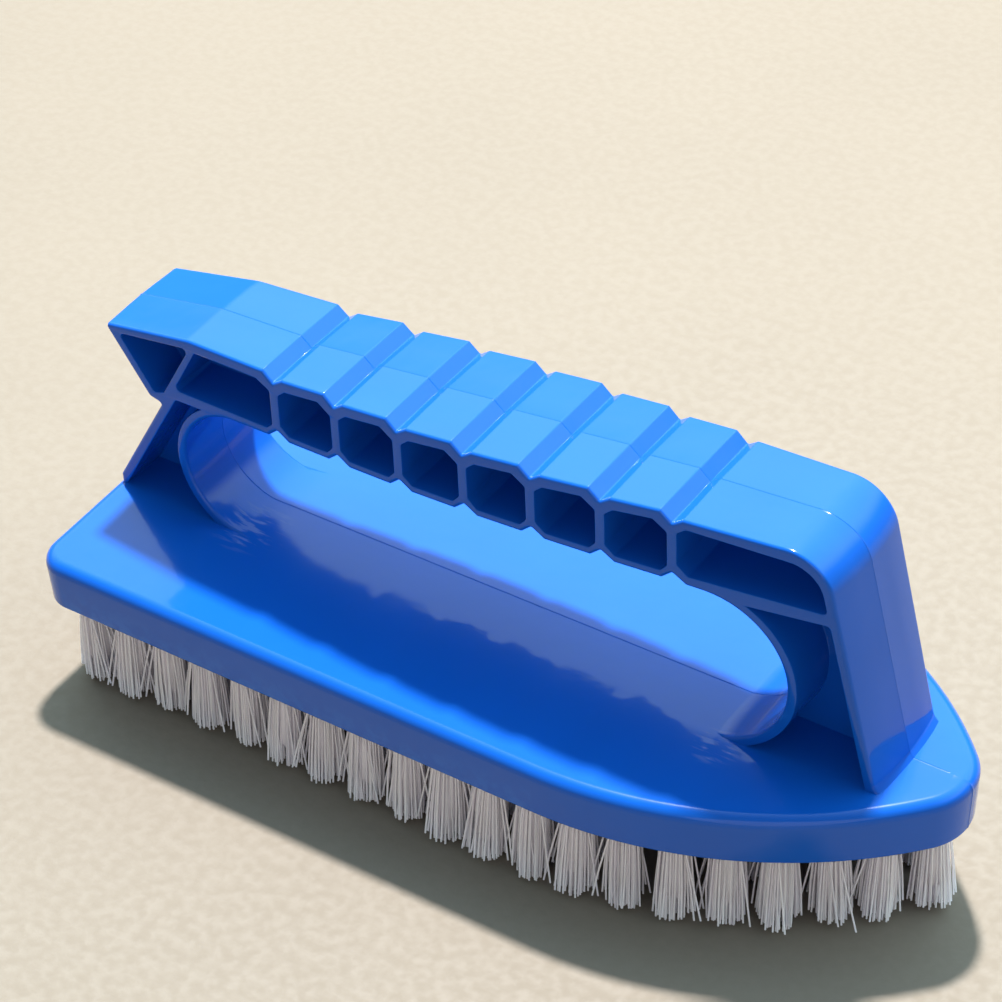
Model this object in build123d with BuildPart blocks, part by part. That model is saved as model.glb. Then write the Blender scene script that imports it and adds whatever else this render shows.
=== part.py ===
from build123d import *
import math
import os

os.makedirs("parts", exist_ok=True)

# Pool wall brush: one moulded block and handle, staple-set bristle tufts and their wire anchors.
# Frame: +X from heel to nose, +Y to the left of that, +Z up.  All sizes are in millimetres.
# The origin is under the middle of the block, on the flat plane of the tuft tips.

# ---- driving dimensions -------------------------------------------------------------------
LENGTH = 180.6                      # heel face to nose tip
HALF_WIDTH = 37.2                   # mid-plane to the straight side of the block
TUFT_REACH = 20.5                   # free length of the bristles below the block
BLOCK_THICKNESS = 11.0
HEEL_CORNER_R = 6.5
SHOULDER_R = 87.0                   # long curve from the straight side to the nose
NOSE_R = 12.3
WALL_DRAFT = 3.0                    # degrees that the block's wall leans in towards its lower edge
RIM_R = 2.4                         # rounded upper edge of the block
LOWER_EDGE_R = 0.5

WALL = 2.0                          # skins, ring, column and strut of the handle
WEB = 2.0                           # mid-plane web behind the side pockets
PITCH = 14.17                       # one groove of the grip to the next
GROOVES = 7
GRIP_RISE = 0.67                    # how much the grip climbs per groove towards the nose
POCKET_R = 0.8                      # rounding inside the pocket corners

HOLE_R = 2.75                       # drilled tuft hole
HOLE_DEPTH = 9.0
ROOT_R = 2.65                       # bundle inside the hole
TIP_R = 3.9                         # bundle flared at the tips
ROW_INSET = 7.4                     # long sides to the outer row
HEEL_INSET = 7.6                    # heel face to the outer row
ROW_SETBACK = 1.4                   # the outer row turns in this much nearer the heel than the outline
SIDE_TUFTS = 19                     # on each long side, heel corner included
INNER_PITCH = 9.1                   # along the inner rows
INNER_MARGIN = 16.9                 # outline to the nearest inner tuft
HEEL_GAPS = 6                       # spaces between tufts across the heel

STAPLE_LENGTH = 5.9                 # longer than the hole is wide, so its ends bite
STAPLE_THICKNESS = 0.45
STAPLE_HEIGHT = 2.1
FOLD = 0.9                          # bristle fold between the wire and the hole floor
SLOT_GAP = 0.05

# ---- levels and places that follow --------------------------------------------------------
HEEL_X = -LENGTH / 2
BLOCK_BOTTOM = TUFT_REACH
BLOCK_TOP = BLOCK_BOTTOM + BLOCK_THICKNESS
BURIED = 3.0                        # the handle starts this far down inside the block
NOSE_CENTRE_X = LENGTH - NOSE_R
SHOULDER_Y = HALF_WIDTH - SHOULDER_R
SHOULDER_X = NOSE_CENTRE_X - math.sqrt((SHOULDER_R - NOSE_R) ** 2 - SHOULDER_Y ** 2)
HOLE_FLOOR = BLOCK_BOTTOM + HOLE_DEPTH
FAR_SIDE = Plane.XZ.offset(-HALF_WIDTH)
STAPLE_Z = HOLE_FLOOR - FOLD - STAPLE_HEIGHT / 2

# The handle's side profile is given as distance from the heel and height above the block.
FOOT_X = 1.3
FOOT_TOP = 2.1
STRUT_LEAN = 0.575                  # forward travel per millimetre of height
CROTCH_Z = 24.3                     # where the strut meets the tail
TAIL_CORNER = (11.2, 24.9)
TAIL_TIP = (1.8, 38.4)
HUMP = (22.3, 42.3)
FIRST_VALLEY = (42.4, 40.9)
FIRST_CUSP = (42.4, 29.9)
CREST_BEFORE = (-2.3, 2.1)          # from a valley back to the end of the pad before it
CREST_AFTER = (2.1, 1.5)            # from a valley on to the start of the next pad
UNDER_BEFORE = (-2.1, -1.85)        # the same two for the cusps underneath
UNDER_AFTER = (2.7, -1.7)
NOSE_CORNER = (156.4, 48.5)         # where the top line and the column's front would meet
NOSE_CORNER_R = 9.0
COLUMN_LEAN = 0.225                 # forward travel per millimetre going down
HEEL_RING_R = 13.85                 # finger opening, inside radius at the heel end
HEEL_RING_X = 32.75
NOSE_RING_R = 16.15
NOSE_RING_X = 133.65
TOP_SKIN = 2.5
NOSE_SKIN = 3.0
UNDER_SKIN = 1.7


def at(x, z):
    """A point of the side profile: x from the heel, z above the block."""
    return (HEEL_X + x, BLOCK_TOP + z)


def shifted(point, step):
    return (point[0] + step[0], point[1] + step[1])


def valley(i):
    return shifted(FIRST_VALLEY, (i * PITCH, i * GRIP_RISE))


def cusp(i):
    return shifted(FIRST_CUSP, (i * PITCH, i * GRIP_RISE))


def strut_x(z):
    return FOOT_X + (z - FOOT_TOP) * STRUT_LEAN


def column_x(z):
    return NOSE_CORNER[0] + (NOSE_CORNER[1] - z) * COLUMN_LEAN


def profile(*points):
    """Closed polygon in the side profile."""
    Polyline(*[at(*point) for point in points], close=True)


# ---- outlines in plan ---------------------------------------------------------------------
def plan_outline():
    """Iron-shaped outline of the block: blunt heel, straight sides, rounded pointed nose."""
    turn = math.degrees(math.atan2(-SHOULDER_Y, NOSE_CENTRE_X - SHOULDER_X))
    heel = HEEL_X
    corner_y = HALF_WIDTH - HEEL_CORNER_R
    with BuildLine() as outline:
        Line((heel, 0), (heel, corner_y))
        RadiusArc((heel, corner_y), (heel + HEEL_CORNER_R, HALF_WIDTH), HEEL_CORNER_R)
        Line((heel + HEEL_CORNER_R, HALF_WIDTH), (heel + SHOULDER_X, HALF_WIDTH))
        CenterArc((heel + SHOULDER_X, SHOULDER_Y), SHOULDER_R, turn, 90 - turn)
        CenterArc((heel + NOSE_CENTRE_X, 0), NOSE_R, 0, turn)
        mirror(about=Plane.XZ)
    return outline.line


def handle_plan():
    """The handle is barrel-shaped in plan: widest at the middle finger."""
    widths = ((1.0, 10.6), (42.0, 12.2), (70.0, 13.7), (92.0, 14.0), (113.0, 13.6), (139.0, 12.5),
              (168.0, 11.2))
    with BuildLine() as outline:
        side = Spline(*[(HEEL_X + x, half) for x, half in widths])
        Line(side @ 0, (HEEL_X + widths[0][0], 0))
        Line(side @ 1, (HEEL_X + widths[-1][0], 0))
        mirror(about=Plane.XZ)
    return outline.line


# ---- the moulding -------------------------------------------------------------------------
def block():
    """Slab with drafted walls, a rounded rim and a softened lower edge."""
    with BuildPart() as slab:
        with BuildSketch(Plane.XY.offset(BLOCK_TOP)):
            add(plan_outline())
            make_face()
        extrude(amount=-BLOCK_THICKNESS, taper=WALL_DRAFT)
        fillet(slab.faces().sort_by(Axis.Z)[-1].edges(), RIM_R)
        fillet(slab.faces().sort_by(Axis.Z)[0].edges(), LOWER_EDGE_R)
    return slab.part


def grip_line(first, before, after):
    """Grooved line of the grip from the first groove to the last."""
    points = []
    for i in range(GROOVES):
        groove = shifted(first, (i * PITCH, i * GRIP_RISE))
        points += [shifted(groove, before), groove, shifted(groove, after)]
    return points


def outer_profile():
    with BuildSketch() as face:
        with BuildLine():
            profile((FOOT_X, -BURIED), (FOOT_X, FOOT_TOP), (strut_x(CROTCH_Z), CROTCH_Z),
                    TAIL_CORNER, TAIL_TIP, HUMP,
                    *grip_line(FIRST_VALLEY, CREST_BEFORE, CREST_AFTER),
                    NOSE_CORNER, (column_x(-BURIED), -BURIED))
        make_face()
        for point, radius in ((TAIL_CORNER, 1.5), (TAIL_TIP, 0.8), (HUMP, 9.0), (NOSE_CORNER, NOSE_CORNER_R)):
            fillet(face.vertices().sort_by_distance(at(*point))[0], radius)
    return face.sketch


def finger_opening():
    """Through opening, lined by the ring and tangent to the top of the block at both ends."""
    with BuildSketch() as face:
        with BuildLine():
            CenterArc(at(HEEL_RING_X, HEEL_RING_R), HEEL_RING_R, 90, 180)
            CenterArc(at(NOSE_RING_X, NOSE_RING_R), NOSE_RING_R, -90, 180)
            underside = [(HEEL_RING_X, 2 * HEEL_RING_R), *grip_line(FIRST_CUSP, UNDER_BEFORE, UNDER_AFTER),
                         (NOSE_RING_X, 2 * NOSE_RING_R)]
            Polyline(*[at(*point) for point in underside])
            Polyline(at(HEEL_RING_X, 0), at(HEEL_RING_X, -BURIED), at(NOSE_RING_X, -BURIED),
                     at(NOSE_RING_X, 0))
        make_face()
    return face.sketch


def finger_cell(i):
    """One of the six eight-sided pockets, between groove i and the next."""
    left = valley(i)[0] + WALL / 2
    right = valley(i + 1)[0] - WALL / 2
    roof_left = shifted(valley(i), CREST_AFTER)[1] - TOP_SKIN
    roof_right = shifted(valley(i + 1), CREST_BEFORE)[1] - TOP_SKIN
    floor_left = shifted(cusp(i), UNDER_AFTER)[1] + UNDER_SKIN
    floor_right = shifted(cusp(i + 1), UNDER_BEFORE)[1] + UNDER_SKIN
    return ((left, floor_left + 1.6), (left, roof_left - 1.5), (left + 1.7, roof_left),
            (right - 2.7, roof_right), (right, roof_right - 1.9),
            (right, floor_right + 1.5), (right - 1.3, floor_right), (left + 1.9, floor_left))


def tail_pocket():
    return ((5.2, 37.3), (22.4, 40.3), (15.0, 27.4), (12.6, 26.5))


def hump_cell():
    right = FIRST_VALLEY[0] - WALL / 2
    return ((17.8, 29.2), (23.8, 40.0), (right - 3.0, 40.5),
            (right, 38.8), (right, 31.1), (right - 1.4, 29.9))


def nose_cell():
    left = valley(GROOVES - 1)[0] + WALL / 2
    roof = NOSE_CORNER[1] - NOSE_SKIN
    return ((left, 36.2), (left, roof - 2.4), (left + 1.8, roof - 1.0), (column_x(roof) - WALL, roof),
            (column_x(36.7) - WALL, 36.7), (left + 2.1, 34.4))


def cell_pocket(outline):
    """Pocket with its own four to eight corners."""
    with BuildSketch() as face:
        with BuildLine():
            profile(*outline)
        make_face()
        fillet(face.vertices(), POCKET_R)
    return face.sketch


def ring_pocket(outline, ring_x, ring_r):
    """Pocket that runs up to the outside of the ring."""
    with BuildSketch() as face:
        with BuildLine():
            profile(*outline)
        make_face()
        with Locations(at(ring_x, ring_r)):
            Circle(ring_r + WALL, mode=Mode.SUBTRACT)
    return face.sketch


def pockets():
    """Every side pocket, in the side profile."""
    strut_pocket = ((strut_x(-BURIED) + 1.2 * WALL, -BURIED), (strut_x(26.7) + 1.2 * WALL, 26.7),
                    (HEEL_RING_X, 27.1), (HEEL_RING_X, -BURIED))
    column_pocket = ((NOSE_RING_X, -BURIED), (NOSE_RING_X, 31.9), (column_x(34.3) - WALL, 34.3),
                     (column_x(-BURIED) - WALL, -BURIED))
    cells = [tail_pocket(), hump_cell(), nose_cell(), *[finger_cell(i) for i in range(GROOVES - 1)]]
    return [ring_pocket(strut_pocket, HEEL_RING_X, HEEL_RING_R),
            ring_pocket(column_pocket, NOSE_RING_X, NOSE_RING_R),
            *[cell_pocket(cell) for cell in cells]]


def handle():
    with BuildPart() as grip:
        with BuildSketch(FAR_SIDE):
            add(outer_profile())
        extrude(amount=2 * HALF_WIDTH)
        with BuildSketch(FAR_SIDE):
            add(finger_opening())
        extrude(amount=2 * HALF_WIDTH, mode=Mode.SUBTRACT)
        with BuildSketch(Plane.XY.offset(BLOCK_TOP - BURIED)):
            add(handle_plan())
            make_face()
        extrude(amount=2 * HALF_WIDTH, mode=Mode.INTERSECT)
    return grip.part


# ---- where the tufts stand ----------------------------------------------------------------
row_turn_x = HEEL_X + SHOULDER_X - ROW_SETBACK


def side_row():
    """Places along one long side, from the heel corner to just short of the nose."""
    reach = SHOULDER_R - ROW_INSET
    nose_turn = math.degrees(math.asin(-SHOULDER_Y / reach))
    with BuildLine() as row:
        Line((HEEL_X + HEEL_INSET, HALF_WIDTH - ROW_INSET), (row_turn_x, HALF_WIDTH - ROW_INSET))
        CenterArc((row_turn_x, SHOULDER_Y), reach, 90, nose_turn - 90)
    path = row.wire()
    return [tuple(path @ (i / SIDE_TUFTS))[:2] for i in range(SIDE_TUFTS)]


def inner_row(y):
    """Straight row inside the outer one, as long as the outline leaves room for it."""
    first = HEEL_X + HEEL_INSET + INNER_PITCH
    last = HEEL_X + SHOULDER_X + math.sqrt((SHOULDER_R - INNER_MARGIN) ** 2 - (abs(y) - SHOULDER_Y) ** 2)
    return [(first + i * INNER_PITCH, y) for i in range(int((last - first) / INNER_PITCH) + 1)]


across = [(HALF_WIDTH - ROW_INSET) * (2 * i / HEEL_GAPS - 1) for i in range(1, HEEL_GAPS)]
left_side = side_row()
nose_row_x = row_turn_x + math.sqrt((SHOULDER_R - ROW_INSET) ** 2 - SHOULDER_Y ** 2)
rows = {
    "left_side": left_side,
    "right_side": [(x, -y) for x, y in left_side],
    "heel": [(HEEL_X + HEEL_INSET, y) for y in across],
    "nose": [(nose_row_x, 0)],
    "inner_right_outer": inner_row(across[0]),
    "inner_right": inner_row(across[1]),
    "inner_middle": inner_row(across[2]),
    "inner_left": inner_row(across[3]),
    "inner_left_outer": inner_row(across[4]),
}
every_tuft = [place for row in rows.values() for place in row]


# ---- the moulded block and handle, one piece ----------------------------------------------
block_solid = block()
handle_solid = handle()

with BuildPart() as brush_body:
    add(handle_solid)
    for pocket in pockets():
        for side in (1, -1):
            with BuildSketch(Plane.XZ.offset(side * WEB / 2)):
                add(pocket)
            extrude(amount=side * HALF_WIDTH, mode=Mode.SUBTRACT)
    add(block_solid)
    with Locations(*[(x, y, BLOCK_BOTTOM + HOLE_DEPTH / 2) for x, y in every_tuft]):
        Cylinder(HOLE_R, HOLE_DEPTH, mode=Mode.SUBTRACT)
    with Locations(*[(x, y, STAPLE_Z) for x, y in every_tuft]):
        Box(STAPLE_LENGTH, STAPLE_THICKNESS, STAPLE_HEIGHT, mode=Mode.SUBTRACT)
brush_body.part.label = "brush_body"
export_step(brush_body.part, "parts/brush_body.step")


# ---- one tuft and one wire anchor, repeated along the rows --------------------------------
with BuildPart() as tuft:
    with BuildSketch(Plane.XZ):
        with BuildLine():
            Polyline((0, 0), (TIP_R, 0), (ROOT_R, BLOCK_BOTTOM), (ROOT_R, HOLE_FLOOR), (0, HOLE_FLOOR),
                     close=True)
        make_face()
    revolve(axis=Axis.Z)
    with Locations((0, 0, STAPLE_Z)):
        Box(2 * HOLE_R, STAPLE_THICKNESS + 2 * SLOT_GAP, STAPLE_HEIGHT + 2 * SLOT_GAP, mode=Mode.SUBTRACT)

with BuildPart() as staple:
    with Locations((0, 0, STAPLE_Z)):
        Box(STAPLE_LENGTH, STAPLE_THICKNESS, STAPLE_HEIGHT)

for row_name, places in rows.items():
    for kind, single in (("tufts", tuft), ("staples", staple)):
        label = kind + "_" + row_name
        copies = [Pos(x, y, 0) * single.part for x, y in places]
        group = Compound(label=label, children=copies)
        export_step(group, "parts/" + label + ".step")
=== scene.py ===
import math

import bmesh
import bpy
import numpy as np
from mathutils import Matrix, Vector
from mathutils.geometry import tessellate_polygon


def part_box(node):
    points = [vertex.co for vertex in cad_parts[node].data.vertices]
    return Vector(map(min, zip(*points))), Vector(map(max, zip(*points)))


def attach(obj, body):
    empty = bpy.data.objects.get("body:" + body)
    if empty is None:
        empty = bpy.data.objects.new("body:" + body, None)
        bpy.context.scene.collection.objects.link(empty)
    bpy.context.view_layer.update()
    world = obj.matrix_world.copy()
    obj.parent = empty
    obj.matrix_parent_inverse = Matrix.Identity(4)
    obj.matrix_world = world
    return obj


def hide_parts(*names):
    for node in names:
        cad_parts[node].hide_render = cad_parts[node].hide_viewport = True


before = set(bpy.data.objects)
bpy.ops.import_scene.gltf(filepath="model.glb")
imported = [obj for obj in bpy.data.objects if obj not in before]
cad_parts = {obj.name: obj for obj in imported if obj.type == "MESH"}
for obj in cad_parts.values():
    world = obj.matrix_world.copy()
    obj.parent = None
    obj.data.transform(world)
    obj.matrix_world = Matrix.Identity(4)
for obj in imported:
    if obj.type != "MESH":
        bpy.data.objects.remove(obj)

# The look of the pool wall brush, built round its frame.  +X heel to nose, +Z up.
# Sizes are in millimetres, turned into metres as each mesh is made.  The handle's profile is
# measured from the heel and above the block's top.

MM = 0.001
MERGE = 0.00001             # vertices this near each other are one, in metres
FINE_MERGE = 0.000002
rng = np.random.default_rng(11)
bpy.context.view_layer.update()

# ---- sizes of the block -------------------------------------------------------------------
BLOCK_THICKNESS = 11.0
ROOF_RISE = 0.5             # the ridge stands this far above the block's top, and the sides below it
HEEL_CORNER_R = 6.5
SHOULDER_R = 87.0           # long curve from the straight side to the nose
NOSE_R = 12.3
WALL_DRAFT = math.radians(3)
RIM_R = 2.4                 # rounded upper edge
LOWER_EDGE_R = 0.5
TOP_ROWS = (0, 0.35, 0.7)   # lines of the top between ridge and rim, as shares of the way out
HOLE_R = 2.75
HOLE_MOUTH_R = 3.1          # countersunk mouth of a tuft hole
HOLE_MOUTH_DEPTH = 0.3
HOLE_DEPTH = 9.0

# The frame's box touches the rim, which stands inside the outline because the walls lean in.
RIM_LEAN = RIM_R * (math.tan(math.radians(45) + WALL_DRAFT / 2) - 1)
body_low, body_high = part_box("brush_body")
HEEL_X = body_low.x / MM - RIM_LEAN
LENGTH = (body_high.x - body_low.x) / MM + 2 * RIM_LEAN
HALF_WIDTH = body_high.y / MM + RIM_LEAN
BLOCK_BOTTOM = body_low.z / MM
BLOCK_TOP = BLOCK_BOTTOM + BLOCK_THICKNESS
NOSE_CENTRE_X = LENGTH - NOSE_R
SHOULDER_Y = HALF_WIDTH - SHOULDER_R
SHOULDER_X = NOSE_CENTRE_X - math.sqrt((SHOULDER_R - NOSE_R) ** 2 - SHOULDER_Y**2)

# ---- sizes of the handle ------------------------------------------------------------------
WALL = 2.0                  # skins, ring, column and strut
WEB = 2.0                   # mid-plane web behind the side pockets
PITCH = 14.17               # one groove of the grip to the next
GROOVES = 7
GRIP_RISE = 0.67            # how much the grip climbs per groove towards the nose
BURIED = 3.0                # the handle starts this far down inside the block
FOOT_X = 1.3
FOOT_TOP = 2.1
FOOT_R = 0.5
STRUT_LEAN = 0.575          # forward travel per millimetre of height
CROTCH_Z = 24.3             # where the strut meets the tail
TAIL_CORNER = (11.2, 24.9)
TAIL_CORNER_R = 1.5
TAIL_TIP = (1.8, 38.4)
TAIL_TIP_R = 0.8
HUMP = (22.3, 42.3)
HUMP_R = 9.0
FIRST_VALLEY = (42.4, 40.9)
FIRST_CUSP = (42.4, 29.9)
CREST_BEFORE = (-2.3, 2.1)  # from a valley back to the end of the pad before it
CREST_AFTER = (2.1, 1.5)    # from a valley on to the start of the next pad
UNDER_BEFORE = (-2.1, -1.85)  # the same two for the cusps underneath
UNDER_AFTER = (2.7, -1.7)
NOSE_CORNER = (156.4, 48.5)  # where the top line and the column's front would meet
NOSE_CORNER_R = 9.0
COLUMN_LEAN = 0.225         # forward travel per millimetre going down
COLUMN_FOOT_Z = 1.5         # below this the column's front runs out in a fillet
COLUMN_FOOT_R = 2.0
RUN_OUT_X = 1.3
RUN_OUT_Z = -0.7
HEEL_RING_R = 13.85         # finger opening, inside radius at the heel end
HEEL_RING_X = 32.75
NOSE_RING_R = 16.15
NOSE_RING_X = 133.65
TOP_SKIN = 2.5
NOSE_SKIN = 3.0
UNDER_SKIN = 1.7

# Chamfers of a finger cell's corners, along and up or down.
CELL_HEEL_LOW = (1.9, 1.6)
CELL_HEEL_HIGH = (1.7, 1.5)
CELL_NOSE_HIGH = (2.7, 1.9)
CELL_NOSE_LOW = (1.3, 1.5)

# Corners of the other cells.
TAIL_CELL = [(5.2, 37.3), (22.4, 40.3), (15.0, 27.4), (12.6, 26.5)]
HUMP_CELL_HEEL = [(17.8, 29.2), (23.8, 40.0)]
HUMP_CELL_GROOVE = [(-3.0, 40.5), (0.0, 38.8), (0.0, 31.1), (-1.4, 29.9)]  # x from the wall by the groove
NOSE_CELL_HIGH = [(0.0, -2.4), (1.8, -1.0)]     # x from the wall by the last groove, z from the roof
NOSE_CELL_LOW = [(0.0, 36.2), (2.1, 34.4)]      # x from the same wall
NOSE_CELL_FLOOR = 36.7      # by the column
NOSE_CELL_R = 6.5           # under the nose's outer corner
STRUT_POCKET_TOP = 26.7
STRUT_POCKET_MEET = 124.0   # where round the ring the pocket's top meets it, in degrees
COLUMN_POCKET_TOP = 34.3
COLUMN_POCKET_MEET = 63.0
POCKET_FOOT = 0.3           # from this height down these two pockets' outer side is upright
POCKET_LOW = -1.6           # they end this far down, inside the block

EDGE_R = 0.7                # rounding where the skins meet the open sides
POCKET_R = 0.8              # rounding inside the pocket corners
POCKET_EDGE_R = 0.3
POCKET_DRAFT = 0.25         # how much each pocket narrows towards its floor
POCKET_MOUTH = ((1.0, 0.0), (0.3, 0.3), (0.0, 1.0))     # rounded edge, out and in, in edge radii
POCKET_FLOOR = ((0.0, 0.35), (0.12, 0.1), (0.4, 0.0))   # hollow corner, inset and height, in millimetres
CREASE_R = 0.35             # rounding of the pads' cross edges
CREST = 0.25                # how much further out every skin stands at the mid-plane
SKIN_ROWS = (0.7, 0.4)      # lines of the skins between open side and mid-plane, as shares of the way out
COLUMN_BULGE = 0.7          # how far the column's front swells at the mid-plane
BULGE_FROM = 148.0          # the swell starts here and is full after its run
BULGE_RUN = 9.0
PARTING_WIDTH = 0.17        # half the width of the raised parting line
PARTING_HEIGHT = 0.1
PARTING_FADE = 4.0          # the top's parting line dies out this far before its ends

# Half the handle's width at places along it: barrel-shaped, widest at the middle finger.
HALF_WIDTHS = ((1.0, 10.6), (42.0, 12.2), (70.0, 13.7), (92.0, 14.0), (113.0, 13.6), (139.0, 12.5),
               (168.0, 11.2))

ARC_STEP = 0.6              # longest step along a drawn corner, in millimetres
NOSE_RING_STEPS = 48        # steps of the longer arcs and lines
HEEL_RING_STEPS = 44
POCKET_RING_STEPS = 36
SHOULDER_STEPS = 48
CORNER_STEPS = 14
SIDE_STEPS = 11
RIM_STEPS = 8
SHARP_ANGLE = math.radians(38)  # edges sharper than this are shaded as edges
NORMAL_WEIGHT = 80          # how strongly large flat faces keep the shading flat


# ---- plane outlines -----------------------------------------------------------------------
def shifted(point, step):
    return (point[0] + step[0], point[1] + step[1])


def valley(i):
    """Bottom of a groove in the top of the grip."""
    return shifted(FIRST_VALLEY, (i * PITCH, i * GRIP_RISE))


def cusp(i):
    """Top of a groove in the underside of the grip."""
    return shifted(FIRST_CUSP, (i * PITCH, i * GRIP_RISE))


def strut_x(z):
    """Heel side of the strut at a height."""
    return FOOT_X + (z - FOOT_TOP) * STRUT_LEAN


def column_x(z):
    """Front of the column at a height."""
    return NOSE_CORNER[0] + (NOSE_CORNER[1] - z) * COLUMN_LEAN


def arc(centre, radius, start, end, steps):
    """Points along an arc, angles in degrees."""
    angles = np.radians(np.linspace(start, end, steps + 1))
    return [(centre[0] + radius * math.cos(a), centre[1] + radius * math.sin(a)) for a in angles]


def smooth_through(points):
    """A natural cubic through (x, value) points, as a function of x."""
    x, y = np.array(points, float).T
    h = np.diff(x)
    matrix = np.eye(len(x))
    right = np.zeros(len(x))
    for i in range(1, len(x) - 1):
        matrix[i, i - 1:i + 2] = h[i - 1], 2 * (h[i - 1] + h[i]), h[i]
        right[i] = 6 * ((y[i + 1] - y[i]) / h[i] - (y[i] - y[i - 1]) / h[i - 1])
    bend = np.linalg.solve(matrix, right)

    def value(at):
        i = int(np.clip(np.searchsorted(x, at) - 1, 0, len(h) - 1))
        a, b = (x[i + 1] - at) / h[i], (at - x[i]) / h[i]
        curve = ((a**3 - a) * bend[i] + (b**3 - b) * bend[i + 1]) * h[i] ** 2 / 6
        return float(a * y[i] + b * y[i + 1] + curve)

    return value


half_width_at = smooth_through(HALF_WIDTHS)


# ---- outlines as corners: (x, z, radius) --------------------------------------------------
def shoelace(corners):
    """Area inside the outline, positive where it runs anticlockwise."""
    x, z = np.array([corner[:2] for corner in corners]).T
    return 0.5 * float(np.sum(x * np.roll(z, -1) - np.roll(x, -1) * z))


def offset(corners, distance):
    """The corners of the same outline moved inwards, or outwards where distance is negative."""
    side = 1 if shoelace(corners) > 0 else -1
    moved = []
    for i, (x, z, radius) in enumerate(corners):
        here = Vector((x, z))
        into = (here - Vector(corners[i - 1][:2])).normalized()
        out = (Vector(corners[(i + 1) % len(corners)][:2]) - here).normalized()
        normal_in = Vector((-into.y, into.x)) * side
        normal_out = Vector((-out.y, out.x)) * side
        mitre = (normal_in + normal_out) / max(0.2, 1 + normal_in.dot(normal_out))
        convex = into.cross(out) * side > 0
        place = here + mitre * distance
        rounding = radius - distance if convex else radius + distance
        moved.append((place.x, place.y, max(0.0, rounding) if radius else 0.0))
    return moved


def arc_steps(corners):
    """How many steps each corner's arc is drawn in, from the outline before it is offset."""
    steps = []
    for i, (x, z, radius) in enumerate(corners):
        here = Vector((x, z))
        back = (Vector(corners[i - 1][:2]) - here).normalized()
        on = (Vector(corners[(i + 1) % len(corners)][:2]) - here).normalized()
        turn = math.pi - back.angle(on)
        steps.append(max(3, math.ceil(turn * radius / ARC_STEP)) if radius and turn > 0.01 else 0)
    return steps


def drawn(corners, steps):
    """Points of the outline, each corner rounded with an arc of that many steps."""
    points = []
    for i, (x, z, radius) in enumerate(corners):
        here = Vector((x, z))
        if not steps[i]:
            points.append(here)
            continue
        back = (Vector(corners[i - 1][:2]) - here).normalized()
        on = (Vector(corners[(i + 1) % len(corners)][:2]) - here).normalized()
        opening = back.angle(on)
        reach = radius / math.tan(opening / 2)
        centre = here + (back + on).normalized() * (radius / math.sin(opening / 2))
        start = here + back * reach - centre
        turn = math.atan2(start.cross(here + on * reach - centre), start.dot(here + on * reach - centre))
        for k in range(steps[i] + 1):
            angle = turn * k / steps[i]
            spoke = Vector((start.x * math.cos(angle) - start.y * math.sin(angle),
                            start.x * math.sin(angle) + start.y * math.cos(angle)))
            points.append(centre + spoke)
    return points


def circle(centre, radius, sides):
    """Points of a level circle round a centre."""
    around = [2 * math.pi * i / sides for i in range(sides)]
    return [(centre[0] + radius * math.cos(a), centre[1] + radius * math.sin(a), centre[2]) for a in around]


def flat(points):
    """Outline points as corners with no rounding of their own."""
    return [(x, z, 0.0) for x, z in points]


def grip_corners(first, before, after):
    """Grooved line of the grip from the first groove to the last."""
    corners = []
    for i in range(GROOVES):
        groove = shifted(first, (i * PITCH, i * GRIP_RISE))
        corners += [(*place, CREASE_R) for place in (shifted(groove, before), groove, shifted(groove, after))]
    return corners


def arch_corners():
    """The handle's whole side outline: over the top, down the column and back round the finger opening."""
    nose_arc = arc((NOSE_RING_X, NOSE_RING_R), NOSE_RING_R, -90, 90, NOSE_RING_STEPS)
    heel_arc = arc((HEEL_RING_X, HEEL_RING_R), HEEL_RING_R, 90, 270, HEEL_RING_STEPS)
    run_out = column_x(RUN_OUT_Z) + RUN_OUT_X
    return [
        (FOOT_X, -BURIED, 0.0), (FOOT_X, FOOT_TOP, FOOT_R), (strut_x(CROTCH_Z), CROTCH_Z, FOOT_R),
        (*TAIL_CORNER, TAIL_CORNER_R), (*TAIL_TIP, TAIL_TIP_R), (*HUMP, HUMP_R),
        *grip_corners(FIRST_VALLEY, CREST_BEFORE, CREST_AFTER),
        (*NOSE_CORNER, NOSE_CORNER_R), (column_x(COLUMN_FOOT_Z), COLUMN_FOOT_Z, COLUMN_FOOT_R),
        (run_out, RUN_OUT_Z, 0.0), (run_out, -BURIED, 0.0),
        (NOSE_RING_X, -BURIED, 0.0), *flat(nose_arc),
        *reversed(grip_corners(FIRST_CUSP, UNDER_BEFORE, UNDER_AFTER)),
        *flat(heel_arc), (HEEL_RING_X, -BURIED, 0.0),
    ]


def finger_cell(i):
    """One of the six eight-sided pockets, between groove i and the next."""
    left = valley(i)[0] + WALL / 2
    right = valley(i + 1)[0] - WALL / 2
    roof_left = shifted(valley(i), CREST_AFTER)[1] - TOP_SKIN
    roof_right = shifted(valley(i + 1), CREST_BEFORE)[1] - TOP_SKIN
    floor_left = shifted(cusp(i), UNDER_AFTER)[1] + UNDER_SKIN
    floor_right = shifted(cusp(i + 1), UNDER_BEFORE)[1] + UNDER_SKIN
    return [
        (left, floor_left + CELL_HEEL_LOW[1]),
        (left, roof_left - CELL_HEEL_HIGH[1]), (left + CELL_HEEL_HIGH[0], roof_left),
        (right - CELL_NOSE_HIGH[0], roof_right), (right, roof_right - CELL_NOSE_HIGH[1]),
        (right, floor_right + CELL_NOSE_LOW[1]), (right - CELL_NOSE_LOW[0], floor_right),
        (left + CELL_HEEL_LOW[0], floor_left),
    ]


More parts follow.
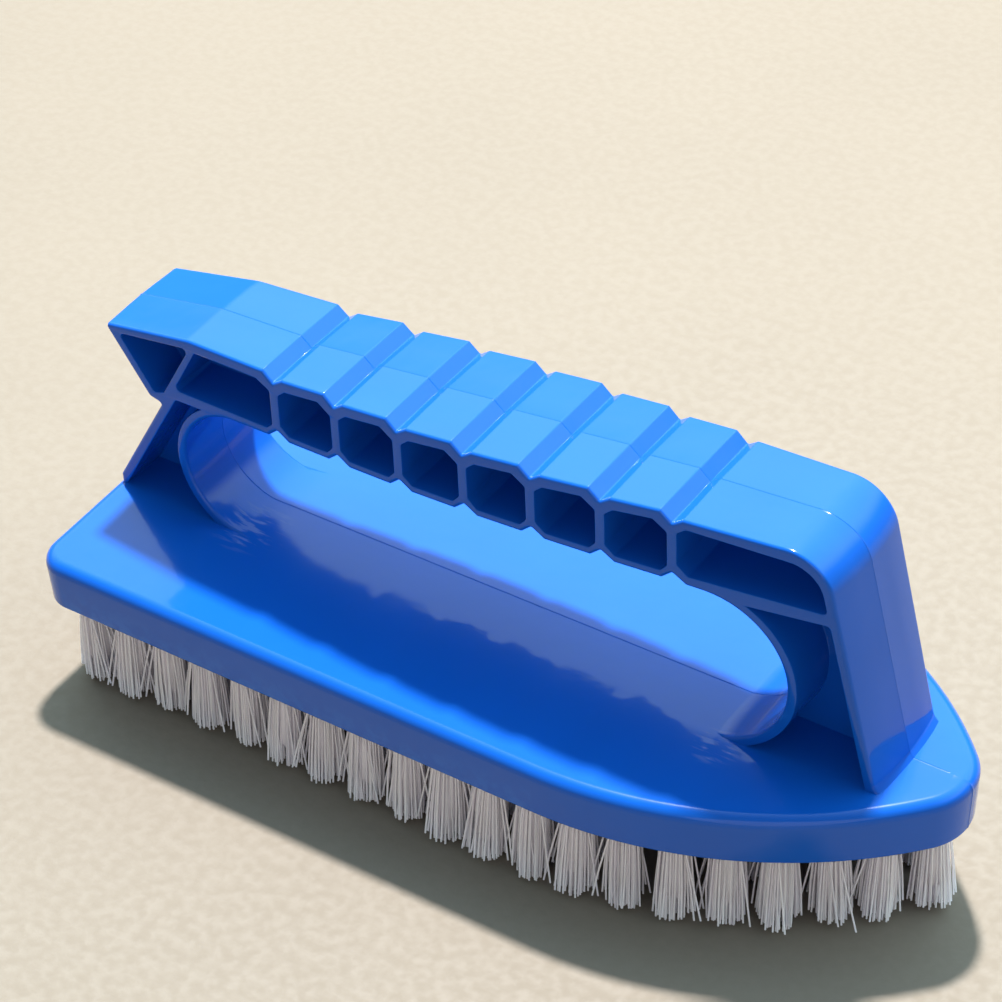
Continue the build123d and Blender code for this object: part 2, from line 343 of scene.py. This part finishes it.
def hump_cell():
    """The pocket under the hump."""
    right = FIRST_VALLEY[0] - WALL / 2
    return [*HUMP_CELL_HEEL, *[(right + x, z) for x, z in HUMP_CELL_GROOVE]]


def nose_cell():
    """The long pocket at the top of the column, as rounded corners."""
    left = valley(GROOVES - 1)[0] + WALL / 2
    roof = NOSE_CORNER[1] - NOSE_SKIN
    high = [(left + x, roof + drop, POCKET_R) for x, drop in NOSE_CELL_HIGH]
    low_wall, low_floor = [(left + x, z, POCKET_R) for x, z in NOSE_CELL_LOW]
    return [low_wall, *high, (column_x(roof) - WALL, roof, NOSE_CELL_R),
            (column_x(NOSE_CELL_FLOOR) - WALL, NOSE_CELL_FLOOR, POCKET_R), low_floor]


def ring_pocket(centre_x, ring_r, wall_x, top, meet):
    """The pocket between a ring of the finger opening and the wall that stands beside it."""
    outer = ring_r + WALL
    turn = math.degrees(math.acos((ring_r - POCKET_LOW) / outer))
    heel_side = wall_x(0) < centre_x
    ends = (270 - turn, meet) if heel_side else (turn - 90, meet)
    ring = arc((centre_x, ring_r), outer, *ends, POCKET_RING_STEPS)
    side = 1.2 * WALL if heel_side else -WALL
    foot = wall_x(POCKET_FOOT) + side
    return [*flat(ring), (wall_x(top) + side, top, POCKET_R),
            (foot, POCKET_FOOT, 0.0), (foot, POCKET_LOW, 0.0)]


def pocket_corners():
    """Every side pocket of the handle."""
    fingers = [finger_cell(i) for i in range(GROOVES - 1)]
    cells = [[(x, z, POCKET_R) for x, z in cell] for cell in (TAIL_CELL, hump_cell(), *fingers)]
    strut_pocket = ring_pocket(HEEL_RING_X, HEEL_RING_R, strut_x, STRUT_POCKET_TOP, STRUT_POCKET_MEET)
    column_pocket = ring_pocket(NOSE_RING_X, NOSE_RING_R, column_x, COLUMN_POCKET_TOP, COLUMN_POCKET_MEET)
    return [*cells, nose_cell(), strut_pocket, column_pocket]


# ---- meshes -------------------------------------------------------------------------------
class Shell:
    """Collects vertices and faces, in millimetres."""

    def __init__(self):
        self.verts = []
        self.faces = []

    def loop(self, points):
        """Adds a row of points and gives their numbers."""
        first = len(self.verts)
        self.verts += points
        return list(range(first, len(self.verts)))

    def bridge(self, a, b, closed=True):
        """Four-sided faces between two rows of as many points."""
        for i in range(len(a) if closed else len(a) - 1):
            j = (i + 1) % len(a)
            self.faces.append((a[i], a[j], b[j], b[i]))

    def stack(self, rings):
        """A closed solid through rings of points, listed downwards."""
        loops = [self.loop(ring) for ring in rings]
        for a, b in zip(loops, loops[1:]):
            self.bridge(b, a)
        self.faces.append(tuple(loops[-1]))
        self.faces.append(tuple(reversed(loops[0])))

    def cap(self, loops):
        """Fills the first loop less the others with triangles."""
        outlines = [[Vector((self.verts[i][0], self.verts[i][2], 0)) for i in loop] for loop in loops]
        index = [i for loop in loops for i in loop]
        for triangle in tessellate_polygon(outlines):
            self.faces.append(tuple(index[i] for i in triangle))

    def mesh(self, name):
        mesh = bpy.data.meshes.new(name)
        mesh.from_pydata([tuple(c * MM for c in vert) for vert in self.verts], [], self.faces)
        return mesh


def tidy_mesh(mesh, merge):
    """Joins doubled vertices, drops slivers and turns every face outwards."""
    work = bmesh.new()
    work.from_mesh(mesh)
    bmesh.ops.remove_doubles(work, verts=work.verts, dist=merge)
    bmesh.ops.dissolve_degenerate(work, edges=work.edges, dist=merge / 4)
    bmesh.ops.recalc_face_normals(work, faces=work.faces)
    work.to_mesh(mesh)
    work.free()


def new_object(mesh):
    item = bpy.data.objects.new(mesh.name, mesh)
    bpy.context.scene.collection.objects.link(item)
    return item


def placed(points, y_of, share=1.0):
    """Outline points stood at y_of(x), a share of the half width from the mid-plane."""
    stood = []
    for point in points:
        reach = min(max((point.x - BULGE_FROM) / BULGE_RUN, 0.0), 1.0)
        swell = COLUMN_BULGE * (1 - share**2) * reach**2 * (3 - 2 * reach)
        stood.append((HEEL_X + point.x + swell, y_of(point.x), BLOCK_TOP + point.y))
    return stood


def skin_loops(shell, arch, side):
    """Loops of the handle's skin, from one open side in to the parting line."""
    steps = arc_steps(arch)
    loops = []
    for angle in np.radians((0, 22.5, 45, 67.5, 90)):
        inset = EDGE_R * (1 - math.sin(angle))
        drop = EDGE_R * (1 - math.cos(angle))
        points = drawn(offset(arch, inset), steps)
        loops.append(shell.loop(placed(points, lambda x: side * (half_width_at(x) - drop))))
    for share in SKIN_ROWS:
        points = drawn(offset(arch, CREST * (share - 1)), steps)
        loops.append(shell.loop(placed(points, lambda x: side * share * half_width_at(x), share)))
    loops.append(shell.loop(placed(drawn(offset(arch, -CREST), steps), lambda x: side * PARTING_WIDTH, 0.0)))
    return loops


def pocket_loops(shell, cell, side):
    """Loops of one pocket, from its rounded mouth in to its floor on the web."""
    steps = arc_steps(cell)
    loops = []
    for out, drop in POCKET_MOUTH:
        points = drawn(offset(cell, -out * POCKET_EDGE_R), steps)
        loops.append(shell.loop(placed(points, lambda x: side * (half_width_at(x) - drop * POCKET_EDGE_R))))
    for inset, height in POCKET_FLOOR:
        points = drawn(offset(cell, POCKET_DRAFT + inset), steps)
        loops.append(shell.loop(placed(points, lambda x: side * (WEB / 2 + height))))
    return loops


def handle_shell():
    """The handle as one closed mesh: both skins, their pockets, and the raised parting line between."""
    shell = Shell()
    arch = arch_corners()
    sides = []
    for side in (-1, 1):
        skin = skin_loops(shell, arch, side)
        pockets = [pocket_loops(shell, cell, side) for cell in pocket_corners()]
        for loops in (skin, *pockets):
            for a, b in zip(loops, loops[1:]):
                shell.bridge(a, b)
        for loops in pockets:
            shell.cap([loops[-1]])
        shell.cap([skin[0], *[loops[0] for loops in pockets]])
        sides.append(skin[-1])
    line = drawn(offset(arch, -CREST - PARTING_HEIGHT), arc_steps(arch))
    parting = shell.loop(placed(line, lambda x: 0.0, 0.0))
    shell.bridge(sides[0], parting)
    shell.bridge(parting, sides[1])
    mesh = shell.mesh("handle")
    tidy_mesh(mesh, MERGE)
    return mesh


def plan_points(inset):
    """Half of the block's outline, from the middle of the heel to the nose tip."""
    turn = math.degrees(math.atan2(-SHOULDER_Y, NOSE_CENTRE_X - SHOULDER_X))
    corner = (HEEL_CORNER_R, HALF_WIDTH - HEEL_CORNER_R)
    witness = math.degrees(PARTING_WIDTH / NOSE_R)
    tip = arc((NOSE_CENTRE_X, 0), NOSE_R - inset, turn, witness, CORNER_STEPS)
    return [(inset, 0), (inset, PARTING_WIDTH), *arc(corner, HEEL_CORNER_R - inset, 180, 90, CORNER_STEPS),
            *[(x, HALF_WIDTH - inset) for x in np.linspace(HEEL_CORNER_R, SHOULDER_X, SIDE_STEPS + 1)[1:-1]],
            *arc((SHOULDER_X, SHOULDER_Y), SHOULDER_R - inset, 90, turn, SHOULDER_STEPS),
            *tip[1:], (NOSE_CENTRE_X + NOSE_R - inset, 0)]


def top_z(y):
    """Height of the block's slightly roofed top."""
    return BLOCK_TOP + ROOF_RISE * (1 - 2 * abs(y) / HALF_WIDTH)


def whole_outline(shell, inset, z_of):
    """The block's outline as one closed loop, with the parting line proud at heel and nose."""
    left = plan_points(inset)
    left[0] = (left[0][0] - PARTING_HEIGHT, 0.0)
    left[-1] = (left[-1][0] + PARTING_HEIGHT, 0.0)
    right = [(x, -y) for x, y in reversed(left[1:-1])]
    return shell.loop([(HEEL_X + x, y, z_of(y)) for x, y in left + right])


def halves(loop):
    """A closed outline loop as its left and right side, each from heel to nose."""
    count = len(loop) // 2 + 1
    return loop[:count], [loop[0], *reversed(loop[count:]), loop[count - 1]]


def roof_row(shell, ridge, half, share):
    """A line of the top between the ridge and the rim, at a share of the way out."""
    row = [ridge[0]]
    for i in half[1:-1]:
        x, y, _ = shell.verts[i]
        out = math.copysign(min(PARTING_WIDTH, abs(y)), y) if share == 0 else share * y
        row += shell.loop([(x, out, top_z(out))])
    return [*row, ridge[-1]]


def block_shell():
    """The block as one closed mesh: softened lower edge, drafted walls, rounded rim and roofed top."""
    shell = Shell()
    lean = math.tan(WALL_DRAFT)
    loops = []
    for angle in np.radians((0, 30, 60, 90)):
        inset = lean * BLOCK_THICKNESS + LOWER_EDGE_R * (1 - math.sin(angle))
        rise = LOWER_EDGE_R * (1 - math.cos(angle))
        loops.append(whole_outline(shell, inset, lambda y: BLOCK_BOTTOM + rise))
    for angle in np.radians(np.linspace(0, 90, RIM_STEPS + 1)):
        drop = RIM_R * (1 - math.sin(angle))
        inset = RIM_R * (1 - math.cos(angle)) + lean * drop
        loops.append(whole_outline(shell, inset, lambda y: top_z(y) - drop))
    for a, b in zip(loops, loops[1:]):
        shell.bridge(a, b)
    left, right = halves(loops[-1])
    heel, nose = (shell.verts[i][0] for i in (left[0], left[-1]))
    ridge = [left[0]]
    for i in left[1:-1]:
        x = shell.verts[i][0]
        fade = min(1.0, (x - heel) / PARTING_FADE, (nose - x) / PARTING_FADE)
        ridge += shell.loop([(x, 0.0, top_z(0) + fade * PARTING_HEIGHT)])
    ridge.append(left[-1])
    for half in (left, right):
        rows = [ridge, *[roof_row(shell, ridge, half, share) for share in TOP_ROWS], half]
        for a, b in zip(rows, rows[1:]):
            shell.bridge(a, b, closed=False)
    shell.bridge(*halves(loops[0]), closed=False)
    mesh = shell.mesh("block")
    tidy_mesh(mesh, MERGE)
    return mesh


def islands(node):
    """Centres in plan of the separate solids in a node of the frame."""
    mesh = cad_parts[node].data
    parent = list(range(len(mesh.vertices)))

    def root(i):
        while parent[i] != i:
            parent[i] = parent[parent[i]]
            i = parent[i]
        return i

    for edge in mesh.edges:
        a, b = root(edge.vertices[0]), root(edge.vertices[1])
        parent[a] = b
    groups = {}
    for vert in mesh.vertices:
        key = (round(vert.co.x, 6), round(vert.co.y, 6), round(vert.co.z, 6))
        groups.setdefault(key, []).append(vert.index)
    for same in groups.values():
        for other in same[1:]:
            parent[root(other)] = root(same[0])
    members = {}
    for vert in mesh.vertices:
        members.setdefault(root(vert.index), []).append(vert.co)
    centres = []
    for corners in members.values():
        low = [min(c[axis] for c in corners) for axis in (0, 1)]
        high = [max(c[axis] for c in corners) for axis in (0, 1)]
        centres.append(((low[0] + high[0]) / 2 / MM, (low[1] + high[1]) / 2 / MM))
    return sorted(centres)


tuft_rows = {name: islands(name) for name in sorted(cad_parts) if name.startswith("tufts_")}


def boolean(target, tool, operation):
    """Joins the tool to the target or cuts it away, and removes the tool."""
    step = target.modifiers.new("cut", "BOOLEAN")
    step.operation = operation
    step.object = tool
    step.solver = "EXACT"
    bpy.context.view_layer.update()
    result = bpy.data.meshes.new_from_object(target.evaluated_get(bpy.context.evaluated_depsgraph_get()))
    target.modifiers.clear()
    target.data = result
    bpy.data.objects.remove(tool)


def hole_cutters():
    """A cutter for every tuft hole, with a small countersink at its mouth."""
    shell = Shell()
    below = -1.0
    levels = ((HOLE_R, HOLE_DEPTH), (HOLE_R, HOLE_MOUTH_DEPTH), (HOLE_MOUTH_R, 0.0), (HOLE_MOUTH_R, below))
    for places in tuft_rows.values():
        for x, y in places:
            shell.stack([circle((x, y, BLOCK_BOTTOM + height), radius, 28) for radius, height in levels])
    return shell.mesh("holes")


def moulding():
    """Block and handle joined into one piece, with the tuft holes cut."""
    body = new_object(block_shell())
    body.name = "moulded_block_and_handle"
    boolean(body, new_object(handle_shell()), "UNION")
    boolean(body, new_object(hole_cutters()), "DIFFERENCE")
    tidy_mesh(body.data, FINE_MERGE)
    body.data.shade_smooth()
    body.data.set_sharp_from_angle(angle=SHARP_ANGLE)
    weighted = body.modifiers.new("weighted", "WEIGHTED_NORMAL")
    weighted.keep_sharp = True
    weighted.weight = NORMAL_WEIGHT
    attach(body, "root")
    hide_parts("brush_body")
    return body


# ---- bristles -----------------------------------------------------------------------------
FILAMENTS = 130
FILAMENT_R = 0.19
ROOT_SPREAD = 2.45          # radius of a bundle in its hole
TIP_SPREAD = 3.6
FAN = (0.9, 1.15)           # tufts differ this much in spread
ROOT_DEPTH = 1.6            # filaments start this far up the hole
TIP_LIFT = 0.8              # average height of the uneven tips above the floor
LOCK_WAVES = ((0.3, 3), (0.22, 7))  # depth and number of the waves that part the tips into locks
LOCK_FLARE = 0.5            # how much further out a lock stands
LOCK_RAGGED = 2.2           # how much a lock's tips differ in height
SWAY_RAGGED = 0.4           # the same for the whole bundle
OUTER_LIFT = 0.5            # the outermost tips end this much higher
STRAY_SHARE = 0.12          # outer filaments that bend away towards a neighbouring tuft
STRAY_FROM = 0.6            # share of the spread beyond which filaments stray
STRAY_REACH = (1.2, 4.8)
STRAY_LIFT = 1.2
BOW = 0.25                  # outward bow of the outermost filaments
LEAN_SCATTER = 0.25         # scatter of whole tufts, then of single tips, bows, heights and turns
TIP_SCATTER = 0.15
BOW_SCATTER = 0.12
HEIGHT_SCATTER = 0.35
TURN_SCATTER = 0.05
SIDE_SPLAY = 0.5            # the side rows are pressed outwards, most of all by the heel
HEEL_SPLAY = 1.1
HEEL_SPLAY_X = 8
HEEL_SPLAY_RUN = 50
END_SPLAY = {"tufts_heel": -0.5, "tufts_nose": 0.8}
CORE = ((0.0, 0.84), (0.3, 0.84), (0.55, 0.82), (0.75, 0.72), (0.86, 0.4))  # share of length, of spread


def filament(shell, root, tip, bow, sides=5, stations=4):
    """A slightly bowed round filament from root to tip, in millimetres."""
    middles = [root.lerp(tip, t) + bow * (4 * t * (1 - t)) for t in np.linspace(0, 1, stations)]
    shell.stack([circle(middle, FILAMENT_R, sides) for middle in middles])


def splay(name, x, y):
    """How far a tuft's tips have been pressed outwards by use."""
    if name.endswith("_side"):
        by_heel = math.exp(-((x - HEEL_SPLAY_X) / HEEL_SPLAY_RUN) ** 2)
        return Vector((0, math.copysign(SIDE_SPLAY + HEEL_SPLAY * by_heel, y), 0))
    return Vector((END_SPLAY.get(name, 0.0), 0, 0))


def core(shell, root, tip, fan, sides=16):
    """The tight middle of a tuft, where the filaments touch."""
    rings = []
    for t, share in CORE:
        spread = ROOT_SPREAD + (TIP_SPREAD * fan - ROOT_SPREAD) * t
        rings.append(circle(root.lerp(tip, t), share * spread, sides))
    shell.stack(rings)


def scatter(amount):
    """A small random step in plan."""
    return Vector((rng.normal(0, amount), rng.normal(0, amount), 0))


def tuft(shell, x, y, lean, crossing):
    """One tuft, packed tight in its hole and fanned out at the tips, in a few loose locks."""
    golden = math.pi * (3 - math.sqrt(5))
    locks = rng.uniform(0, 2 * math.pi, 3)
    fan = rng.uniform(*FAN)
    core(shell, Vector((x, y, BLOCK_BOTTOM + ROOT_DEPTH)), Vector((x, y, TIP_LIFT)) + lean, fan)
    for k in range(FILAMENTS):
        reach = math.sqrt((k + 0.5) / FILAMENTS)
        angle = k * golden + rng.normal(0, TURN_SCATTER)
        spoke = Vector((math.cos(angle), math.sin(angle), 0))
        root = Vector((x, y, BLOCK_BOTTOM + ROOT_DEPTH)) + spoke * (reach * ROOT_SPREAD)
        lock = sum(depth * math.sin(waves * angle + at) for (depth, waves), at in zip(LOCK_WAVES, locks))
        flare = spoke * (reach * TIP_SPREAD * fan * (1 + LOCK_FLARE * lock))
        ragged = math.sin(2 * angle + locks[2]) * SWAY_RAGGED + LOCK_RAGGED * lock
        uneven = abs(1 + ragged * reach + rng.normal(0, HEIGHT_SCATTER))
        tip = Vector((x, y, TIP_LIFT * uneven + OUTER_LIFT * reach**4)) + flare + lean + scatter(TIP_SCATTER)
        if reach > STRAY_FROM and rng.random() < STRAY_SHARE:
            tip += crossing * rng.choice((-1, 1)) * rng.uniform(*STRAY_REACH)
            tip.z += rng.uniform(0, STRAY_LIFT)
        filament(shell, root, tip, spoke * (BOW * reach) + scatter(BOW_SCATTER))


def bristle_row(name, places):
    """All the tufts of one row as one piece."""
    shell = Shell()
    crossing = Vector((0, 1, 0)) if name in ("tufts_heel", "tufts_nose") else Vector((1, 0, 0))
    for x, y in places:
        tuft(shell, x, y, scatter(LEAN_SCATTER) + splay(name, x, y), crossing)
    item = new_object(shell.mesh("bristles_" + name.removeprefix("tufts_")))
    item.data.shade_smooth()
    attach(item, "root")
    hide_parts(name)
    return item


# ---- materials ----------------------------------------------------------------------------
DEEP_BLUE = (0.003, 0.09, 0.48, 1)
BRIGHT_BLUE = (0.005, 0.108, 0.57, 1)
# Painted highlight: the paler, brighter blue laid along convex edges.
EDGE_HIGHLIGHT_BLUE = (0.03, 0.24, 0.8, 1)
RUBBED_BLUE = (0.42, 0.5, 0.62, 1)
HEEL_SCUFF = (HEEL_RING_X - 1, -9)      # rubbed places of the top, by the feet of the finger opening
HEEL_SCUFF_R = 9
NOSE_SCUFF = (NOSE_RING_X + 4, -15)
NOSE_SCUFF_R = 6
NYLON_DULL = (0.93, 0.87, 0.96, 1)
NYLON_BRIGHT = (1.0, 0.95, 1.0, 1)
NYLON_STAIN = (0.8, 0.77, 0.74, 1)
STEEL_BRIGHT = (0.6, 0.6, 0.58, 1)
STEEL_DULL = (0.34, 0.31, 0.27, 1)
FLOOR_DARK = (0.198, 0.163, 0.129, 1)
FLOOR_PALE = (0.23, 0.191, 0.152, 1)


class Look:
    """A node material with short calls for the nodes used here."""

    def __init__(self, name):
        self.material = bpy.data.materials.new(name)
        self.material.use_nodes = True
        self.tree = self.material.node_tree
        self.shader = self.tree.nodes["Principled BSDF"]
        self.place = self.tree.nodes.new("ShaderNodeTexCoord").outputs["Object"]
        self.geometry = self.tree.nodes.new("ShaderNodeNewGeometry")

    def feed(self, socket, value):
        """Links another node's output to the socket, or sets a plain value."""
        if isinstance(value, bpy.types.NodeSocket):
            self.tree.links.new(value, socket)
        else:
            socket.default_value = value

    def noise(self, scale, detail=2.0, stretch=(1, 1, 1), offset=(0, 0, 0)):
        """Fine noise over the object, scale in features per metre."""
        mapping = self.tree.nodes.new("ShaderNodeMapping")
        mapping.inputs["Scale"].default_value = stretch
        mapping.inputs["Location"].default_value = offset
        self.feed(mapping.inputs["Vector"], self.place)
        item = self.tree.nodes.new("ShaderNodeTexNoise")
        item.inputs["Scale"].default_value = scale
        item.inputs["Detail"].default_value = detail
        self.feed(item.inputs["Vector"], mapping.outputs["Vector"])
        return item.outputs["Fac"]

    def range(self, value, low, high, to_low=0.0, to_high=1.0):
        """The value's stretch from low to high, carried smoothly to another."""
        item = self.tree.nodes.new("ShaderNodeMapRange")
        item.interpolation_type = "SMOOTHSTEP"
        for socket, setting in zip(item.inputs, (value, low, high, to_low, to_high)):
            self.feed(socket, setting)
        return item.outputs["Result"]

    def maths(self, operation, a, b):
        """A sum, product or maximum of two values."""
        item = self.tree.nodes.new("ShaderNodeMath")
        item.operation = operation
        self.feed(item.inputs[0], a)
        self.feed(item.inputs[1], b)
        return item.outputs["Value"]

    def mix(self, share, a, b):
        """A colour between two others."""
        item = self.tree.nodes.new("ShaderNodeMix")
        item.data_type = "RGBA"
        self.feed(item.inputs["Factor"], share)
        self.feed(item.inputs[6], a)
        self.feed(item.inputs[7], b)
        return item.outputs[2]

    def near(self, centre, radius):
        """One at a point of the object, falling to nothing at the radius."""
        item = self.tree.nodes.new("ShaderNodeVectorMath")
        item.operation = "DISTANCE"
        self.feed(item.inputs[0], self.place)
        item.inputs[1].default_value = centre
        core_radius = radius * 0.3
        return self.range(item.outputs["Value"], core_radius, radius, 1.0, 0.0)

    def bump(self, height, depth, under=None):
        """A bump of the height map, depth in metres, over another bump if there is one."""
        item = self.tree.nodes.new("ShaderNodeBump")
        item.inputs["Distance"].default_value = depth
        self.feed(item.inputs["Height"], height)
        if under:
            self.feed(item.inputs["Normal"], under)
        return item.outputs["Normal"]

    def finish(self, colour, roughness, normal):
        """The material, once its shader has all three."""
        self.feed(self.shader.inputs["Base Color"], colour)
        self.feed(self.shader.inputs["Roughness"], roughness)
        self.feed(self.shader.inputs["Normal"], normal)
        return self.material


def on_top(x, y):
    """A place on the block's top, in metres."""
    return Vector((HEEL_X + x, y, BLOCK_TOP)) * MM


def plastic():
    """Glossy blue polypropylene, faintly rippled, scuffed, with a painted highlight: paler, brighter blue
    along its convex edges.
    """
    look = Look("blue_moulded_plastic")
    drift = look.noise(38, 3)
    grain = look.noise(1900, 2)
    ripple = look.noise(210, 1)
    fine = look.noise(800, 3, offset=(2, 7, 3))
    scratches = look.range(look.noise(42, 3, (1, 34, 20), (3, 1, 2)), 0.68, 0.74)
    scratches = look.maths("MULTIPLY", scratches, look.range(fine, 0.45, 0.55))
    rubbed = look.maths("MAXIMUM", look.near(on_top(*HEEL_SCUFF), HEEL_SCUFF_R * MM),
                        look.near(on_top(*NOSE_SCUFF), NOSE_SCUFF_R * MM))
    rubbed = look.maths("MULTIPLY", rubbed, look.range(look.noise(160, 4, (1, 5, 1), (5, 5, 5)), 0.5, 0.66))
    # Painted highlight: convex edges, found by pointiness, are tinted paler and brighter in patches.
    edges = look.range(look.geometry.outputs["Pointiness"], 0.52, 0.62)
    patches = look.range(look.noise(420, 3, offset=(1, 9, 4)), 0.4, 0.62, 0.1, 0.6)
    painted_edge_highlight = look.maths("MULTIPLY", edges, patches)
    colour = look.mix(drift, DEEP_BLUE, BRIGHT_BLUE)
    colour = look.mix(look.maths("MULTIPLY", painted_edge_highlight, 0.35), colour, EDGE_HIGHLIGHT_BLUE)
    colour = look.mix(look.maths("MULTIPLY", rubbed, 0.2), colour, RUBBED_BLUE)
    roughness = look.range(drift, 0.35, 0.65, 0.04, 0.09)
    roughness = look.maths("ADD", roughness, look.maths("MULTIPLY", scratches, 0.08))
    roughness = look.maths("ADD", roughness, look.maths("MULTIPLY", rubbed, 0.3))
    roughness = look.maths("ADD", roughness, look.range(fine, 0.3, 0.7, 0.0, 0.03))
    look.shader.inputs["Specular IOR Level"].default_value = 0.23
    look.shader.inputs["Coat Weight"].default_value = 0.2
    look.shader.inputs["Coat Roughness"].default_value = 0.22
    normal = look.bump(ripple, 0.00005)
    normal = look.bump(grain, 0.000002, normal)
    normal = look.bump(scratches, -0.000002, normal)
    return look.finish(colour, roughness, normal)


def bristle_look():
    """Off-white nylon, each filament its own shade, with fine streaks and a little staining."""
    look = Look("white_nylon_bristle")
    shade = look.range(look.geometry.outputs["Random Per Island"], 0.0, 1.0)
    streak = look.noise(900, 2, (1, 1, 0.06))
    stain = look.range(look.noise(60, 3), 0.45, 0.75)
    colour = look.mix(shade, NYLON_DULL, NYLON_BRIGHT)
    colour = look.mix(look.maths("MULTIPLY", stain, 0.15), colour, NYLON_STAIN)
    look.shader.inputs["Subsurface Weight"].default_value = 0.4
    look.shader.inputs["Subsurface Radius"].default_value = (1.0, 1.0, 1.0)
    look.shader.inputs["Subsurface Scale"].default_value = 0.0012
    roughness = look.range(streak, 0.3, 0.7, 0.28, 0.5)
    return look.finish(colour, roughness, look.bump(streak, 0.00002))


def steel():
    """Bright rolled anchor wire with drawing lines and a few dull spots."""
    look = Look("anchor_wire")
    lines = look.noise(700, 3, (1, 1, 12))
    dull = look.range(look.noise(260, 3), 0.5, 0.7)
    colour = look.mix(dull, STEEL_BRIGHT, STEEL_DULL)
    look.shader.inputs["Metallic"].default_value = 1.0
    roughness = look.range(lines, 0.3, 0.7, 0.2, 0.42)
    return look.finish(colour, roughness, look.bump(lines, 0.000008))


def floor_look():
    """A plain pale floor, faintly mottled."""
    look = Look("pale_floor")
    mottle = look.noise(9, 5)
    grain = look.noise(420, 3)
    colour = look.mix(mottle, FLOOR_DARK, FLOOR_PALE)
    return look.finish(colour, look.range(grain, 0.3, 0.7, 0.62, 0.8), look.bump(grain, 0.00012))


body = moulding()
body.data.materials.clear()
body.data.materials.append(plastic())
bristle_material = bristle_look()
for row_name, row_places in tuft_rows.items():
    bristle_row(row_name, row_places).data.materials.append(bristle_material)
wire_material = steel()
for node_name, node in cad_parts.items():
    if node_name.startswith("staples_"):
        for slot in node.material_slots:
            slot.material = wire_material


# ---- floor, light and camera --------------------------------------------------------------
FLOOR_SIZE = 6
MIDDLE = Vector((0, 0, 0.04))
LIGHT_DISTANCE = 1.3
TINT_AT_HORIZON = (0.97, 0.93, 0.9, 1)
TINT_ABOVE = (0.76, 0.97, 0.93, 1)
TINT_OVERHEAD = (0.5, 0.8, 1.0, 1)
ABOVE = 0.55                # sine of the height at which the middle tint is full
ROOM_STRENGTH = 0.34
GLOW_STRENGTH = 2.4


def area_light(name, way, size, power, colour):
    """A round soft light, the given way from the middle of the brush."""
    lamp = bpy.data.lights.new(name, "AREA")
    lamp.shape = "DISK"
    lamp.size = size
    lamp.energy = power
    lamp.color = colour
    item = bpy.data.objects.new(name, lamp)
    towards = Vector(way).normalized()
    item.location = MIDDLE + towards * LIGHT_DISTANCE
    item.rotation_euler = towards.to_track_quat("Z", "Y").to_euler()
    bpy.context.scene.collection.objects.link(item)


def studio_world():
    """Soft room light, cool from above, and brightest high up behind the brush."""
    world = bpy.data.worlds.new("studio")
    world.use_nodes = True
    tree = world.node_tree
    background = tree.nodes["Background"]
    parts = tree.nodes.new("ShaderNodeSeparateXYZ")
    tree.links.new(tree.nodes.new("ShaderNodeTexCoord").outputs["Generated"], parts.inputs["Vector"])
    tint = tree.nodes.new("ShaderNodeValToRGB")
    tint.color_ramp.elements[0].color = TINT_AT_HORIZON
    tint.color_ramp.elements[1].color = TINT_OVERHEAD
    tint.color_ramp.elements.new(ABOVE).color = TINT_ABOVE
    tree.links.new(parts.outputs["Z"], tint.inputs["Fac"])
    tree.links.new(tint.outputs["Color"], background.inputs["Color"])
    ranges = []
    for axis, low, high in (("Y", -0.5, 0.6), ("Z", 0.3, 0.58)):
        item = tree.nodes.new("ShaderNodeMapRange")
        item.interpolation_type = "SMOOTHSTEP"
        item.inputs["From Min"].default_value = low
        item.inputs["From Max"].default_value = high
        tree.links.new(parts.outputs[axis], item.inputs["Value"])
        ranges.append(item.outputs["Result"])
    glow = tree.nodes.new("ShaderNodeMath")
    glow.operation = "MULTIPLY"
    for socket, source in zip(glow.inputs, ranges):
        tree.links.new(source, socket)
    strength = tree.nodes.new("ShaderNodeMath")
    strength.operation = "MULTIPLY_ADD"
    tree.links.new(glow.outputs["Value"], strength.inputs[0])
    strength.inputs[1].default_value = GLOW_STRENGTH
    strength.inputs[2].default_value = ROOM_STRENGTH
    tree.links.new(strength.outputs["Value"], background.inputs["Strength"])
    bpy.context.scene.world = world


AIM = Vector((-0.007, 0.0, 0.0538))
AZIMUTH = math.radians(35.1)         # 0 looks along +Y
ELEVATION = math.radians(39.1)
ROLL = math.radians(-2.5)
DISTANCE = 0.635
LENS = 125.8
SENSOR = 36


def place_camera():
    """The camera, looking at the aim point from the azimuth and elevation."""
    level = math.cos(ELEVATION)
    forward = Vector((-math.sin(AZIMUTH) * level, math.cos(AZIMUTH) * level, -math.sin(ELEVATION)))
    level_right = Vector((math.cos(AZIMUTH), math.sin(AZIMUTH), 0))
    right = level_right * math.cos(ROLL) + level_right.cross(forward) * math.sin(ROLL)
    up = right.cross(forward)
    data = bpy.data.cameras.new("camera")
    data.lens = LENS
    data.sensor_width = SENSOR
    camera = bpy.data.objects.new("camera", data)
    turn = Matrix((right, up, -forward)).transposed().to_4x4()
    camera.matrix_world = Matrix.Translation(AIM - forward * DISTANCE) @ turn
    bpy.context.scene.collection.objects.link(camera)
    bpy.context.scene.camera = camera


bpy.ops.mesh.primitive_plane_add(size=FLOOR_SIZE)
floor = bpy.context.object
floor.name = "floor"
floor.data.materials.append(floor_look())
studio_world()
area_light("key", way=(-0.18, 0.37, 1.0), size=0.1, power=47, colour=(1, 0.98, 0.94))
area_light("fill", way=(0.5, -0.8, 0.3), size=0.9, power=2.1, colour=(1, 0.93, 0.88))
place_camera()
bpy.context.scene.view_settings.view_transform = "Standard"
bpy.context.view_layer.update()
